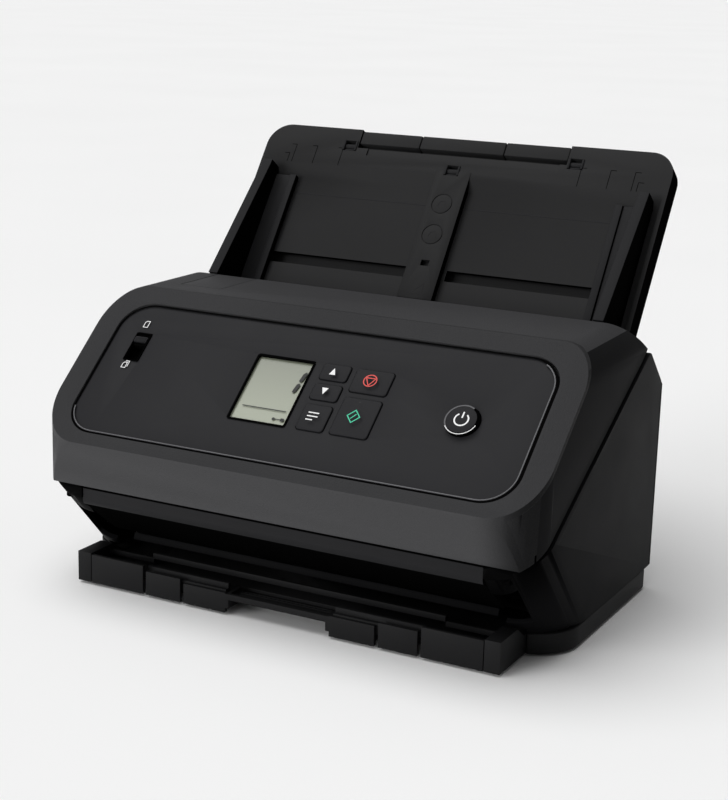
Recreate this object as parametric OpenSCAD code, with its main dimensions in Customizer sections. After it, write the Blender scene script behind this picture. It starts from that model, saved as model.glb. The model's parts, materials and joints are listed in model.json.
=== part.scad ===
// Desktop sheet fed scanner. Units are millimetres, X is right, Y is back, Z is up.
// The origin is at the centre of the footprint, on the surface that the feet rest on.

/* [Body] */
// Width of the body
body_w = 280; // [276:1:286]
// Wall thickness of the plastic covers
wall = 2.5; // [2:0.1:3]
// Radius of the vertical front corners
corner_r = 25; // [22:1:28]
// Radius of the top corners, seen from the front
top_corner_r = 19; // [17:1:22]
// Height of the base skirt above the table
skirt_top = 12; // [11:0.5:13]
// Radius of the bezel's rounded panel recess
panel_r = 18; // [16:1:20]

/* [Feed tray] */
// Lean of the feed tray from the horizontal
tray_angle = 54.7; // [52:0.1:57]
// Length of the tray above the feed slot
tray_len = 102; // [98:0.1:104]
// Half of the tray's width
tray_half = 125.5; // [124:0.5:126]
// Thickness of the tray
tray_t = 12; // [12:0.5:13]
// Distance from the centre to the inner face of each document guide
guide_x = 112.5; // [111:0.5:113]

/* [Eject tray] */
// Half of the width of the eject tray's frame
frame_half = 121.3; // [120:0.1:122]
// Height of the frame's end caps
cap_h = 17.3; // [16:0.1:18]
// Play between parts that slide
play = 0.4; // [0.3:0.05:0.5]

/* [Hidden] */
$fn = 48;

half = body_w / 2;
base_z = 1.2;
foot_y = [-48, 46];
eps = 0.02;

// Side profile, as points [y, z].
nose = [-113.1, 81];
slope_top = [-34.8, 149];
slope_angle = atan2(slope_top.y - nose.y, slope_top.x - nose.x);
top_rear = [18, 149];
split_rear = [34.6, 133.8];
split_front = [-106, 55];
split_gap = 1;
rear_y = 58;
rear_top = 111.8;
chamfer_top = [36.7, 132];
skirt_front = -70;
rim_edge = [-105, 49];
front_half = half - 1;
top_open = 121;

front_profile = [
    split_front + [0, split_gap], split_rear + [0, split_gap], top_rear, slope_top, nose
];
lower_profile = [
    [skirt_front, skirt_top], [rear_y, skirt_top], [rear_y, rear_top], chamfer_top,
    split_rear - [0, split_gap], split_front - [0, split_gap], rim_edge
];

// Paper path: from the exit under the nose up to the feed slot.
exit_point = [-72, 24];
path_top = [39.8, 128.4];
path_angle = atan2(path_top.y - exit_point.y, path_top.x - exit_point.x);
path_len = norm(path_top - exit_point);
path_half_gap = 1.5;
cavity_half = 126.8;
nip = 0.2;

// Rollers on the path: distance up from the exit.
eject_at = 22;
sensor_low_at = 50;
sensor_up_at = 66;
registration_at = 92;
feed_at = 126;
tyre_r = 10;
idler_r = 7;
shaft_r = 3;
fit = 0.05;
pulley_r = 8;
belt_t = 1.2;
belt_x = -131;
frame_x = 124;
frame_t = 2;
pulley_w = 4;
motor_at = [22, 45];
motor_pulley_r = 5;

// Front unit hinge.
hinge_at = [-101, 49];
knuckle_r = 4.5;
pin_r = 2;
knuckle_half = 113.2;
lip_x = 113.5;

// Feed tray plane: where it meets the top cover's rear edge.
tray_at = [44.4, 143.5];
slot_s = [14, 20.6];
recess = 4;
crease_s = [69.5, 76.5];
rib_half = 10.5;

// Control panel on the sloped face: origin at the middle of its lower edge.
crease_to_panel = 7.2;
panel_at = nose + crease_to_panel * [cos(slope_angle), sin(slope_angle)];
panel_half = 126;
panel_len = 86;
panel_sink = 1.2;
key_proud = 0.8;

// Eject tray.
eject_front = -99.4;
eject_z = 1.3;
stage_depth = 118;
lip_t = 2;

// Polygon helpers.
function shifted(a, b, d) = let (u = (b - a) / norm(b - a), n = [-u.y, u.x]) [a + n * d, b + n * d];
function crossing(l, m) =
    let (r = l[1] - l[0], s = m[1] - m[0], q = m[0] - l[0])
    l[0] + r * ((q.x * s.y - q.y * s.x) / (r.x * s.y - r.y * s.x));
function inset(pts, d) = let (n = len(pts)) [
    for (i = [0:n - 1])
        crossing(shifted(pts[(i + n - 1) % n], pts[i], d), shifted(pts[i], pts[(i + 1) % n], d))
];

// A rectangle with its own corner radius at the low y side and at the high y side.
module rounded(x0, y0, x1, y1, r0, r1) {
    translate([x0, y0 + r0]) square([x1 - x0, y1 - y0 - r0 - r1]);
    if (r0 > 0) {
        translate([x0 + r0, y0]) square([x1 - x0 - 2 * r0, r0 + eps]);
        for (x = [x0 + r0, x1 - r0]) translate([x, y0 + r0]) circle(r0);
    }
    if (r1 > 0) {
        translate([x0 + r1, y1 - r1 - eps]) square([x1 - x0 - 2 * r1, r1 + eps]);
        for (x = [x0 + r1, x1 - r1]) translate([x, y1 - r1]) circle(r1);
    }
}

// A [y, z] outline extruded along X.
module across(pts, x0, x1) {
    rotate([90, 0, 90]) translate([0, 0, x0]) linear_extrude(x1 - x0) polygon(pts);
}

module rod(at, r, x0, x1) {
    translate([x0, at.x, at.y]) rotate([0, 90, 0]) cylinder(r = r, h = x1 - x0);
}

module block(x0, y0, z0, x1, y1, z1) {
    translate([x0, y0, z0]) cube([x1 - x0, y1 - y0, z1 - z0]);
}

module on_slope() { translate([0, panel_at.x, panel_at.y]) rotate([slope_angle, 0, 0]) children(); }
module on_path() { translate([0, exit_point.x, exit_point.y]) rotate([path_angle, 0, 0]) children(); }
module on_tray() { translate([0, tray_at.x, tray_at.y]) rotate([tray_angle, 0, 0]) children(); }

// World [y, z] of a point given on the path frame.
function on_path_point(s, h) = exit_point + [s * cos(path_angle) - h * sin(path_angle),
    s * sin(path_angle) + h * cos(path_angle)];

feed_axis = on_path_point(feed_at, -tyre_r - nip);
registration_axis = on_path_point(registration_at, -tyre_r - nip);
eject_axis = on_path_point(eject_at, -tyre_r - nip);
retard_axis = on_path_point(feed_at, idler_r + nip);
registration_idler_axis = on_path_point(registration_at, idler_r + nip);
eject_idler_axis = on_path_point(eject_at, idler_r + nip);

// ---------- lower unit ----------

// The rounded prism that follows the undercut below the nose.
module undercut_prism(d) {
    under = rim_edge - [skirt_front, skirt_top];
    translate([0, skirt_front, skirt_top])
        rotate([90 - atan2(under.y, -under.x), 0, 0])
            translate([0, 0, -170])
                linear_extrude(400)
                    rounded(-half + d, d, half - d, 260, corner_r - d, 0);
}

module lower_solid(d) {
    intersection() {
        across(inset(lower_profile, d), -half + d, half - d);
        undercut_prism(d);
    }
}

module lower_shell() {
    difference() {
        lower_solid(0);
        lower_solid(wall);
        block(-half + wall, -52, 0, half - wall, rear_y - wall, skirt_top + wall + 0.5);
    }
}

// Lip that wraps round the front corners under the split line.
module corner_lip() {
    lip_depth = 5;
    intersection() {
        across([split_front - [1, split_gap + lip_depth], split_rear - [0, split_gap + lip_depth],
            split_rear - [0, split_gap], split_front - [1, split_gap]], lip_x, half);
        linear_extrude(160) rounded(-half, split_front.x, half, 200, corner_r, 0);
        block(lip_x, -120, 0, half, -40, 120);
    }
}

// Clearance for the front unit's inner parts.
module path_cavity() {
    intersection() {
        on_path() block(-cavity_half, -60, -path_half_gap, cavity_half, path_len + 40, 120);
        block(-cavity_half, -95.5, 0, cavity_half, 200, 300);
    }
}

module side_cover() {
    difference() {
        union() {
            intersection() {
                lower_shell();
                block(lip_x, -120, 0, half + 1, rear_y - wall, 200);
            }
            difference() {
                corner_lip();
                intersection() {
                    lower_solid(wall);
                    block(cavity_half, -95.5, 0, half, 200, 200);
                }
            }
            // web that carries the hinge pin
            intersection() {
                lower_solid(0);
                block(lip_x, -120, 30, lip_x + 2.5, -95.6, 60);
            }
        }
        path_cavity();
        rod(hinge_at, pin_r, lip_x - 1, 126);
        block(lip_x - 1, -120, 0, frame_half + 0.5, 28, 15.1);
    }
}

module right_side_cover() {
    color("#1c1c1d") side_cover();
}

module left_side_cover() {
    color("#1c1c1d") mirror([1, 0, 0]) side_cover();
}

screw_places = [for (x = [-1, 1]) for (z = [24, 98]) [x * 120, z]];

module rear_cover() {
    color("#1a1a1b") difference() {
        intersection() {
            lower_shell();
            union() {
                block(-lip_x + play, 20, 0, lip_x - play, rear_y + 1, 200);
                block(-half, rear_y - wall, 0, half, rear_y + 1, 200);
            }
        }
        path_cavity();
        for (p = screw_places) translate([p.x, rear_y - 2, p.y]) rotate([-90, 0, 0]) cylinder(r = 3.3, h = 3);
        // openings for the sockets and the vent
        block(70, rear_y - 5, 22, 83, rear_y + 1, 34);
        block(92, rear_y - 5, 22, 104, rear_y + 1, 34);
        for (i = [0:9]) block(-90, rear_y - 5, 30 + 5 * i, -30, rear_y + 1, 32 + 5 * i);
    }
}

// Lip below the paper exit.
module exit_guide() {
    color("#3a3a3c") across([[-69.8, 17.6], [-54, 17.6], [-54, 20.2], [-66.5, 20.2], [-68.6, 21.6]], -107, 107);
}

module bottom_cover() {
    skirt_half = half - 0.3;
    skirt_y = skirt_front;
    color("#1b1b1c") difference() {
        translate([0, 0, base_z]) linear_extrude(skirt_top - base_z - 0.3)
            rounded(-skirt_half, skirt_y, skirt_half, rear_y - 3, corner_r, 6);
        // hollow inside, and the slide bay of the eject tray
        translate([0, 0, base_z + wall]) linear_extrude(20)
            rounded(-skirt_half + wall, skirt_y + wall, skirt_half - wall, rear_y - 3 - wall, corner_r - wall, 4);
        block(-frame_half - 0.5, -80, 0, frame_half + 0.5, 28, 20);
        for (x = [-1, 1]) for (y = foot_y) translate([x * 130, y, 0]) cylinder(r = 5, h = 3);
    }
}

module rubber_feet() {
    color("#101010") for (x = [-1, 1]) for (y = foot_y) translate([x * 130, y, 0])
        cylinder(r = 4.95, h = 2.95);
}

module side_frame() {
    low = on_path_point(2, -2.2);
    high = on_path_point(path_len - 6, -2.2);
    color("#8b8d90") difference() {
        across([low, [-56, 21], [-40, 15], [-40, 3.8], [50, 3.8], [50, 108], high], frame_x, frame_x + frame_t);
        for (a = [feed_axis, registration_axis, eject_axis]) rod(a, shaft_r + fit, 120, 140);
        rod([-5, 38], 14, 120, 140);
        rod(motor_at, 8, 120, 140);
    }
}

module left_frame() {
    mirror([1, 0, 0]) side_frame();
}

module right_frame() {
    side_frame();
}

module lower_paper_guide() {
    color("#232325") difference() {
        on_path() union() {
            block(-123.5, 2, -path_half_gap - 2, 123.5, path_len - 2, -path_half_gap);
            for (x = [-118, -60, 0, 60, 116]) block(x, 26, -9, x + 2, 30, -path_half_gap - 1);
        }
        for (x = tyre_places) {
            on_path() block(x - 9, eject_at - 9, -12, x + 9, eject_at + 9, 2);
            on_path() block(x - 9, registration_at - 9, -12, x + 9, registration_at + 9, 2);
        }
        on_path() block(-22, feed_at - 9, -12, 22, feed_at + 9, 2);
        on_path() block(-113, sensor_low_at - 8, -12, 113, sensor_low_at + 8, 2);
    }
}

tyre_places = [-80, -28, 28, 80];

module lower_image_sensor() {
    color("#2b3a33") on_path() {
        block(-112.5, sensor_low_at - 7.5, -15, 112.5, sensor_low_at + 7.5, -path_half_gap - 0.6);
        block(-108, sensor_low_at - 6, -path_half_gap - 0.7, 108, sensor_low_at + 6, -path_half_gap + 0.2);
    }
}

module upper_image_sensor() {
    color("#2b3a33") on_path() {
        block(-112.5, sensor_up_at - 7.5, path_half_gap + 0.6, 112.5, sensor_up_at + 7.5, 15);
        block(-108, sensor_up_at - 6, path_half_gap - 0.2, 108, sensor_up_at + 6, path_half_gap + 0.7);
    }
}

module main_board() {
    color("#1f5a34") {
        block(-60, 38, 20, 112, 39.6, 78);
        block(-40, 34, 40, -20, 38, 60);
        block(10, 36, 30, 40, 38, 60);
    }
    color("#202020") for (i = [0:3]) block(55 + 12 * i, 32, 58, 62 + 12 * i, 38, 65);
}

module usb_port() {
    color("#b9bbbe") difference() {
        block(70.5, 39.6, 22.5, 82.5, rear_y - 0.5, 33.5);
        block(72.3, 46, 24.3, 80.7, rear_y, 31.7);
    }
}

module power_inlet() {
    color("#151515") difference() {
        block(92.5, 39.6, 22.5, 103.5, rear_y - 0.5, 33.5);
        translate([98, rear_y, 28]) rotate([90, 0, 0]) cylinder(r = 4, h = 12);
    }
    color("#c0c0c0") translate([98, rear_y - 1, 28]) rotate([90, 0, 0]) cylinder(r = 1, h = 12);
}

module drive_motor() {
    color("#9a9ca0") {
        rod(motor_at, 18, -frame_x + 0.3, -98);
        rod(motor_at, 7, -frame_x - frame_t, -frame_x + 0.4);
    }
    color("#d0d0d0") rod(motor_at, 1.5, belt_x - pulley_w / 2 - 0.3, -frame_x - 1);
}

module pulley(at, r, bore) {
    difference() {
        union() {
            rod(at, r, belt_x - pulley_w / 2, belt_x + pulley_w / 2);
            rod(at, r + belt_t + 0.6, belt_x + pulley_w / 2, belt_x + pulley_w / 2 + 0.8);
        }
        rod(at, bore, belt_x - 5, belt_x + 5);
    }
}

module feed_pulley() { color("#d8d6cc") pulley(feed_axis, pulley_r, shaft_r); }
module registration_pulley() { color("#d8d6cc") pulley(registration_axis, pulley_r, shaft_r); }
module eject_pulley() { color("#d8d6cc") pulley(eject_axis, pulley_r, shaft_r); }
module motor_pulley() { color("#c8a24a") pulley(motor_at, motor_pulley_r, 1.5 + fit); }

// The belt runs round three pulleys, in this order counterclockwise.
belt_stops = [[eject_axis, pulley_r], [motor_at, motor_pulley_r], [feed_axis, pulley_r]];

// Angle of the outer side of the straight run from one pulley to the next.
function run_angle(a, b) =
    let (d = b[0] - a[0]) atan2(d.y, d.x) - acos((a[1] - b[1]) / norm(d));

// Outline of the belt, grown by extra: an arc of short chords on each pulley.
arc_chords = 12;
function belt_outline(extra) = [
    for (i = [0:2])
        let (p = belt_stops[i], w = run_angle(belt_stops[(i + 2) % 3], p))
        let (turn = (run_angle(p, belt_stops[(i + 1) % 3]) - w + 720) % 360)
        for (k = [0:arc_chords])
            let (v = w + turn * k / arc_chords) p[0] + (p[1] + extra) * [cos(v), sin(v)]
];

module drive_belt() {
    slack = 0.35;
    color("#0f0f0f") rotate([90, 0, 90]) translate([0, 0, belt_x - pulley_w / 2 + 0.3])
        linear_extrude(pulley_w - 0.7) difference() {
            polygon(belt_outline(slack + belt_t));
            polygon(belt_outline(slack));
        }
}

module roller_shaft(at) {
    color("#c3c5c8") rod(at, shaft_r, belt_x - pulley_w / 2 - 0.3, 128.5);
}

module feed_shaft() { roller_shaft(feed_axis); }
module registration_shaft() { roller_shaft(registration_axis); }
module eject_shaft() { roller_shaft(eject_axis); }

module tyre(at, x, r, w, bore) {
    difference() {
        rod(at, r, x - w / 2, x + w / 2);
        rod(at, bore, x - w / 2 - 1, x + w / 2 + 1);
    }
}

module feed_tyres() { color("#4a4a48") for (x = [-12, 12]) tyre(feed_axis, x, tyre_r, 16, shaft_r); }
module registration_tyres() { color("#3c3c3a") for (x = tyre_places) tyre(registration_axis, x, tyre_r, 14, shaft_r); }
module eject_tyres() { color("#3c3c3a") for (x = tyre_places) tyre(eject_axis, x, tyre_r, 14, shaft_r); }

module idler(at, places, w) {
    rod(at, 2, places[0] - w, places[len(places) - 1] + w);
    for (x = places) rod(at, idler_r, x - w / 2, x + w / 2);
}

module retard_roller() { color("#5a5a56") idler(retard_axis, [-12, 12], 16); }
module registration_idlers() { color("#d6d4ca") idler(registration_idler_axis, tyre_places, 12); }
module eject_idlers() { color("#d6d4ca") idler(eject_idler_axis, tyre_places, 12); }

module hinge_pins() {
    color("#c3c5c8") for (s = [-1, 1]) rod(hinge_at, pin_r - fit, s > 0 ? 104 : -125.5, s > 0 ? 125.5 : -104);
}

module cover_screws() {
    color("#8a8c90") for (p = screw_places) translate([p.x, rear_y - 2, p.y]) rotate([-90, 0, 0])
        cylinder(r = 3, h = 1.6);
}

// ---------- feed tray ----------

module tray_outline(r) {
    rounded(-tray_half, -20, tray_half, tray_len, 0, r);
}

ext_half = 64.5;
ext_len = 70;
ext_top = -5.4;
ext_bottom = -8.8;

// An [s, h] outline in the tray's frame extruded along X.
module tray_across(pts, x0, x1) {
    rotate([90, 0, 90]) translate([0, 0, x0]) linear_extrude(x1 - x0) polygon(pts);
}

// Everything below the body's rear chamfer, which the tray stands on.
module below_chamfer() {
    across([[0, 60], [90, 60], chamfer_top + [52, -49.3], chamfer_top + [-0.2, 0.3], [0, 134]], -half, half);
}

module feed_tray() {
    color("#262628") difference() {
        on_tray() difference() {
            union() {
                translate([0, 0, -tray_t + 2]) linear_extrude(tray_t - 2) tray_outline(14);
                block(-rib_half, 0, -1, rib_half, 80, 0.3);
            }
            // paper support area, lower than the band with the size marks, with a sloped end
            for (s = [-1, 1]) tray_across([[-30, 1], [-30, -recess], [crease_s[0], -recess], [crease_s[1], 0], [crease_s[1], 1]],
                s > 0 ? rib_half : -tray_half + 2.5, s > 0 ? tray_half - 2.5 : -rib_half);
            // slots for the guides' arms
            for (s = [-1, 1]) block(s > 0 ? 12.5 : -118.5, slot_s[0], -30, s > 0 ? 118.5 : -12.5, slot_s[1], 5);
            // bay for the racks behind the panel
            block(-120, slot_s[0] - 9, -tray_t, 120, slot_s[1] + 9, -6.2);
            // pocket of the extension, and the opening in front of its handle
            block(-ext_half - play, tray_len - ext_len - 1, ext_bottom - 0.2, ext_half + play, tray_len + 1, ext_top + 0.2);
            block(-ext_half - play, tray_len - 12, ext_bottom, ext_half + play, tray_len + 1, 1);
            // shallow trough below the handle
            block(-58, 85.5, -0.8, 61, tray_len - 11.9, 1);
            for (p = catch_places) block(p.x - 4.5, p.y - 3.3, -3.8, p.x + 4.5, p.y + 3.3, 3);
            block(-2.5, 20.2, -3, 2.5, 23.8, 3);
            // circular marks on the rib
            for (s = [39.7, 59]) translate([-1, s, -0.1]) difference() {
                cylinder(r = 6.3, h = 3);
                translate([0, 0, -1]) cylinder(r = 5.7, h = 5);
            }
        }
        below_chamfer();
    }
}

catch_places = [[-70, 91], [-1.4, 80.4], [70, 91]];

module tray_catches() {
    color("#6a6a6c") on_tray() for (p = catch_places) {
        translate([p.x - 4.1, p.y, -2]) rotate([0, 90, 0]) cylinder(r = 1.7, h = 8.2);
    }
}

module tray_back_cover() {
    color("#1c1c1d") difference() {
        on_tray() difference() {
            translate([0, 0, -tray_t]) linear_extrude(2 - 0.2) tray_outline(14);
            // hand grips
            for (s = [-1, 1]) block(s > 0 ? 60 : -80, 10, -tray_t - 1, s > 0 ? 80 : -60, 30, -tray_t + 0.5);
        }
        below_chamfer();
    }
}

inner_half = 26;

handle_s = [93, 101.2];
handle_h = -0.4;
channel_h = -7.1;

module tray_extension() {
    color("#2a2a2c") on_tray() difference() {
        union() {
            block(-ext_half, tray_len - ext_len, ext_bottom, ext_half, handle_s[1], ext_top);
            for (s = [-1, 1]) block(s > 0 ? inner_half + play : -ext_half, handle_s[0], ext_bottom,
                s > 0 ? ext_half : -inner_half - play, handle_s[1], handle_h);
        }
        block(-inner_half - play, tray_len - ext_len + 8, channel_h, inner_half + play, tray_len, 1);
    }
}

module tray_extension_inner() {
    color("#2c2c2e") on_tray() {
        block(-inner_half, tray_len - ext_len + 10, channel_h + 0.3, inner_half, handle_s[1], ext_top - 0.1);
        block(-inner_half, handle_s[0], channel_h + 0.3, inner_half, handle_s[1], handle_h);
    }
}

rack_t = 2;
rack_w = 2.4;
rack_h = -8.7;
pinion_s = (slot_s[0] + slot_s[1]) / 2;
rack_pitch_r = 6;

// One document guide: strip, wall that grows towards the slot, arm and rack.
module guide(side) {
    strip_in = 98.5;
    wall_out = guide_x + 6.2;
    floor_h = -recess + 0.35;
    rack_s = pinion_s + side * (rack_pitch_r + rack_w / 2);
    block(strip_in, -1, floor_h, guide_x + 1, 69, -1.2);
    block(strip_in, -1, floor_h, strip_in + 4.5, 69, 0);
    tray_across([[-9, floor_h], [69, floor_h], [73.5, -1.2], [73.5, 8.2], [70.5, 8.4], [-9, 22.5]], guide_x, wall_out);
    block(103, slot_s[0] + 0.6, rack_h, guide_x - 1, slot_s[1] - 0.6, floor_h + 0.5);
    block(-20, rack_s - rack_w / 2, rack_h, guide_x - 1, rack_s + rack_w / 2, rack_h + rack_t);
    block(103, min(rack_s, pinion_s), rack_h, guide_x - 1, max(rack_s, pinion_s), rack_h + rack_t);
}

module right_guide() {
    color("#252527") on_tray() guide(1);
}

module left_guide() {
    color("#252527") on_tray() mirror([1, 0, 0]) guide(-1);
}

module guide_pinion() {
    color("#d8d6cc") on_tray() translate([0, pinion_s, rack_h]) cylinder(r = rack_pitch_r - 0.35, h = rack_t);
}

// ---------- eject tray ----------

module eject_tray_frame() {
    wall_in = 113.1;
    color("#202022") {
        difference() {
            union() {
                for (s = [-1, 1]) block(s > 0 ? wall_in : -frame_half, eject_front, eject_z,
                    s > 0 ? frame_half : -wall_in, 24, cap_h);
                block(-frame_half, 22, eject_z, frame_half, 26, 11.2);
            }
            // the caps' top falls towards the body
            across([[eject_front + 20, cap_h + 0.01], [-70.9, 11.2], [30, 11.2], [30, 30], [eject_front + 20, 30]], -200, 200);
        }
        block(-wall_in - 0.1, -71, eject_z, wall_in + 0.1, 24, 2.4);
    }
    // ramp across the front of the bay
    color("#303032") {
        block(-85, -83, 14.8, 85, -80.6, 17.8);
        for (s = [-1, 1]) block(s > 0 ? 84.9 : -wall_in - 0.1, -82.4, 12.2, s > 0 ? wall_in + 0.1 : -84.9, -80.6, 14.9);
    }
}

plate_t = 1.8;
finger_half = 31;

// One stage: a plate with two lips at the front, and a wall between them that stands back by step.
module stage(half_w, plate_z, lip_top, inner, step, wall_top, depth) {
    block(-half_w, eject_front + step, plate_z, half_w, eject_front + depth, plate_z + plate_t);
    for (s = [-1, 1]) {
        x0 = s > 0 ? inner : -half_w;
        x1 = s > 0 ? half_w : -inner;
        block(x0, eject_front, eject_z, x1, eject_front + lip_t, lip_top);
        block(x0, eject_front + lip_t - eps, plate_z, x1, eject_front + step + eps, plate_z + plate_t);
    }
    if (wall_top > 0) block(-inner - eps, eject_front + step, plate_z, inner + eps, eject_front + step + lip_t, wall_top);
}

module finger_cut(depth) {
    block(-finger_half, -200, 0, finger_half, eject_front + depth, 30);
}

module eject_stage_1() {
    color("#6b6b6d") difference() {
        stage(112.6, 8.6, 16.6, 80.2, 2 * lip_t + 0.8, 15.2, stage_depth);
        finger_cut(16);
    }
}

module eject_stage_2() {
    color("#6b6b6d") difference() {
        stage(78.2, 6.2, 13.9, 57.2, lip_t + 0.4, 12.6, stage_depth - 4);
        finger_cut(16);
    }
}

module eject_stage_3() {
    color("#6b6b6d") difference() {
        union() {
            stage(55, 3.8, 11.8, 30, lip_t - 0.1, 0, stage_depth - 8);
            block(-30.1, eject_front, 8.4, 30.1, eject_front + lip_t, 11.4);
            for (s = [-1, 1]) block(s > 0 ? 28 : -30.1, eject_front, 3.8, s > 0 ? 30.1 : -28, eject_front + 13, 11.4);
        }
        block(-28, eject_front + lip_t, 0, 28, eject_front + 15.5, 30);
        block(-28, eject_front - 1, 0, 28, eject_front + 15.5, 8.4);
        rod(stopper_axis, 1.5, -29.5, 29.5);
    }
}

stopper_axis = [eject_front + 10.5, 8.4];

module eject_stopper() {
    color("#2a2a2c") {
        block(-26, eject_front + lip_t + 0.8, 7.4, 26, stopper_axis.x, 9.4);
        rod(stopper_axis, 1.4, -29, 29);
    }
}

// ---------- front unit ----------

module front_solid(d) {
    intersection() {
        across(inset(front_profile, d), -front_half + d, front_half - d);
        linear_extrude(200) rounded(-front_half + d, nose.x + d, front_half - d, 100, corner_r - d, 0);
        translate([0, 100, 0]) rotate([90, 0, 0]) linear_extrude(300)
            rounded(-front_half + d, 0, front_half - d, slope_top.y - d, 0, top_corner_r - d);
    }
}

bezel_t = 2.5;

// The space in front of a surface that lies d inside the front band and the slope.
module bezel_zone(d) {
    band = shifted(split_front * 2 - nose, nose, -d);
    slope = shifted(nose, slope_top, -d);
    across([[-150, 20], band[0], crossing(band, slope), slope[1], slope[1] + [3, 30], [-150, 190]], -half - 1, half + 1);
}

module front_bezel() {
    color("#3f3f41") difference() {
        intersection() {
            front_solid(0);
            bezel_zone(bezel_t);
        }
        on_slope() translate([0, 0, -6]) linear_extrude(20)
            rounded(-panel_half, 0, panel_half, panel_len, panel_r, panel_r);
    }
}

module front_shell() {
    bottom_cut = split_gap + wall + 1;
    color("#2f2f30") difference() {
        front_solid(0);
        difference() {
            front_solid(wall);
            bezel_zone(bezel_t + wall);
        }
        bezel_zone(bezel_t + 0.05);
        // open underneath, between the side walls
        across([[-100, 40], [30, 110], [30, split_rear.y - 2.6 + bottom_cut], [-100, split_front.y + 3.4 + bottom_cut]],
            -front_half + wall, front_half - wall);
        // feed opening behind the top
        block(-top_open, top_rear.x, 100, top_open, 60, 160);
        block(lever_x[0] - play, lever_y[0] - 0.8, 140, lever_x[1] + play, 40, 160);
        // back of the panel recess
        on_slope() translate([0, 0, -9]) linear_extrude(20)
            rounded(-panel_half + 4, 4, panel_half - 4, panel_len - 4, panel_r - 4, panel_r - 4);
    }
}

module front_rim() {
    color("#29292a") difference() {
        union() {
            rod(hinge_at, knuckle_r, -knuckle_half, knuckle_half);
            across([[-105.3, 49.2], [-98, 49], [-93, 58.4], [-96.5, 60], [-101.5, 57.3], [-105.3, 54.6]],
                -knuckle_half, knuckle_half);
            across([[-104.4, 46.6], [-77.5, 25.6], [-75.4, 28], [-98, 50.5]], -knuckle_half, knuckle_half);
        }
        for (s = [-1, 1]) rod(hinge_at, pin_r, s > 0 ? 103 : -200, s > 0 ? 200 : -103);
    }
}

module upper_paper_guide() {
    color("#232325") difference() {
        union() {
            on_path() block(-125.5, 5, path_half_gap, 125.5, path_len - 4, path_half_gap + 2);
            for (s = [-1, 1]) across([on_path_point(6, path_half_gap), on_path_point(path_len - 20, path_half_gap), [14, 125], [-88, 66], [-90, 58]],
                s > 0 ? 123 : -125.5, s > 0 ? 125.5 : -123);
        }
        for (x = tyre_places) {
            on_path() block(x - 9, eject_at - 9, -2, x + 9, eject_at + 9, 6);
            on_path() block(x - 9, registration_at - 9, -2, x + 9, registration_at + 9, 6);
        }
        on_path() block(-22, feed_at - 9, -2, 22, feed_at + 9, 6);
        on_path() block(-113, sensor_up_at - 8, -2, 113, sensor_up_at + 8, 6);
    }
}

// Openings of the panel: [x, up the slope, width, height].
lcd_box = [-36, 24, 33, 40.4];
up_box = [2.6, 54.4, 15.5, 9.8];
down_box = [2.6, 42, 15.5, 9.8];
function_box = [3, 23.6, 15.2, 15.4];
stop_box = [21.4, 49.8, 20.8, 14.2];
start_box = [21.6, 23.8, 20.8, 22.6];
power_at = [86.2, 43];
power_r = 8.6;
slider_box = [-112, 49, 8.9, 17.5];

key_r = 1.8;

module box_outline(b, extra, r) {
    rounded(b[0] - extra, b[1] - extra, b[0] + b[2] + extra, b[1] + b[3] + extra, r + extra, r + extra);
}

module control_panel() {
    color("#2d2d30") on_slope() translate([0, 0, -bezel_t]) difference() {
        linear_extrude(bezel_t - panel_sink)
            rounded(-panel_half + 0.6, 0.6, panel_half - 0.6, panel_len - 0.6, panel_r - 0.6, panel_r - 0.6);
        translate([0, 0, -1]) linear_extrude(5) {
            for (b = [up_box, down_box, function_box, stop_box, start_box]) box_outline(b, 0.35, key_r);
            box_outline(lcd_box, 0.35, 1);
            box_outline(slider_box, 0.35, 0.5);
            translate(power_at) circle(power_r + 0.4);
        }
    }
}

module key(b) {
    translate([0, 0, -panel_sink - 4]) linear_extrude(4 + key_proud) box_outline(b, 0, key_r);
}

module up_key() { color("#2a2a2c") on_slope() key(up_box); }
module down_key() { color("#2a2a2c") on_slope() key(down_box); }
module function_key() { color("#2a2a2c") on_slope() key(function_box); }
module stop_key() { color("#2a2a2c") on_slope() key(stop_box); }
module start_key() { color("#2a2a2c") on_slope() key(start_box); }

module power_button() {
    color("#121214") on_slope() translate([power_at.x, power_at.y, -panel_sink - 4]) cylinder(r = power_r, h = 5.2);
}

module feed_select_slider() {
    color("#1a1a1b") on_slope() {
        block(slider_box[0] + 0.3, slider_box[1] + 9.5, -panel_sink - 4, slider_box[0] + slider_box[2] - 0.3,
            slider_box[1] + 17, -panel_sink - 0.4);
    }
}

module lcd_module() {
    color("#9ea592") on_slope() {
        block(lcd_box[0] + 0.2, lcd_box[1] + 0.2, -panel_sink - 4, lcd_box[0] + lcd_box[2] - 0.2,
            lcd_box[1] + lcd_box[3] - 0.2, -panel_sink - 0.9);
    }
}

module panel_board() {
    color("#1f5a34") on_slope() block(-118, 18, -8.2, 104, 72, -6.6);
}

lever_x = [-110, -85];
lever_y = [-18.6, 17.8];
lever_pivot = [-16.6, 146.6];

module open_lever() {
    color("#333334") {
        intersection() {
            block(lever_x[0], lever_y[0], 138, lever_x[1], lever_y[1], 160);
            difference() {
                front_solid(0);
                front_solid(2.2);
            }
        }
        rod(lever_pivot, 1.2, lever_x[0] + 2, lever_x[1] - 2);
    }
}

module latch_bar() {
    color("#8b8d90") rod([12, 124], 2, -122.5, 122.5);
}

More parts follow.
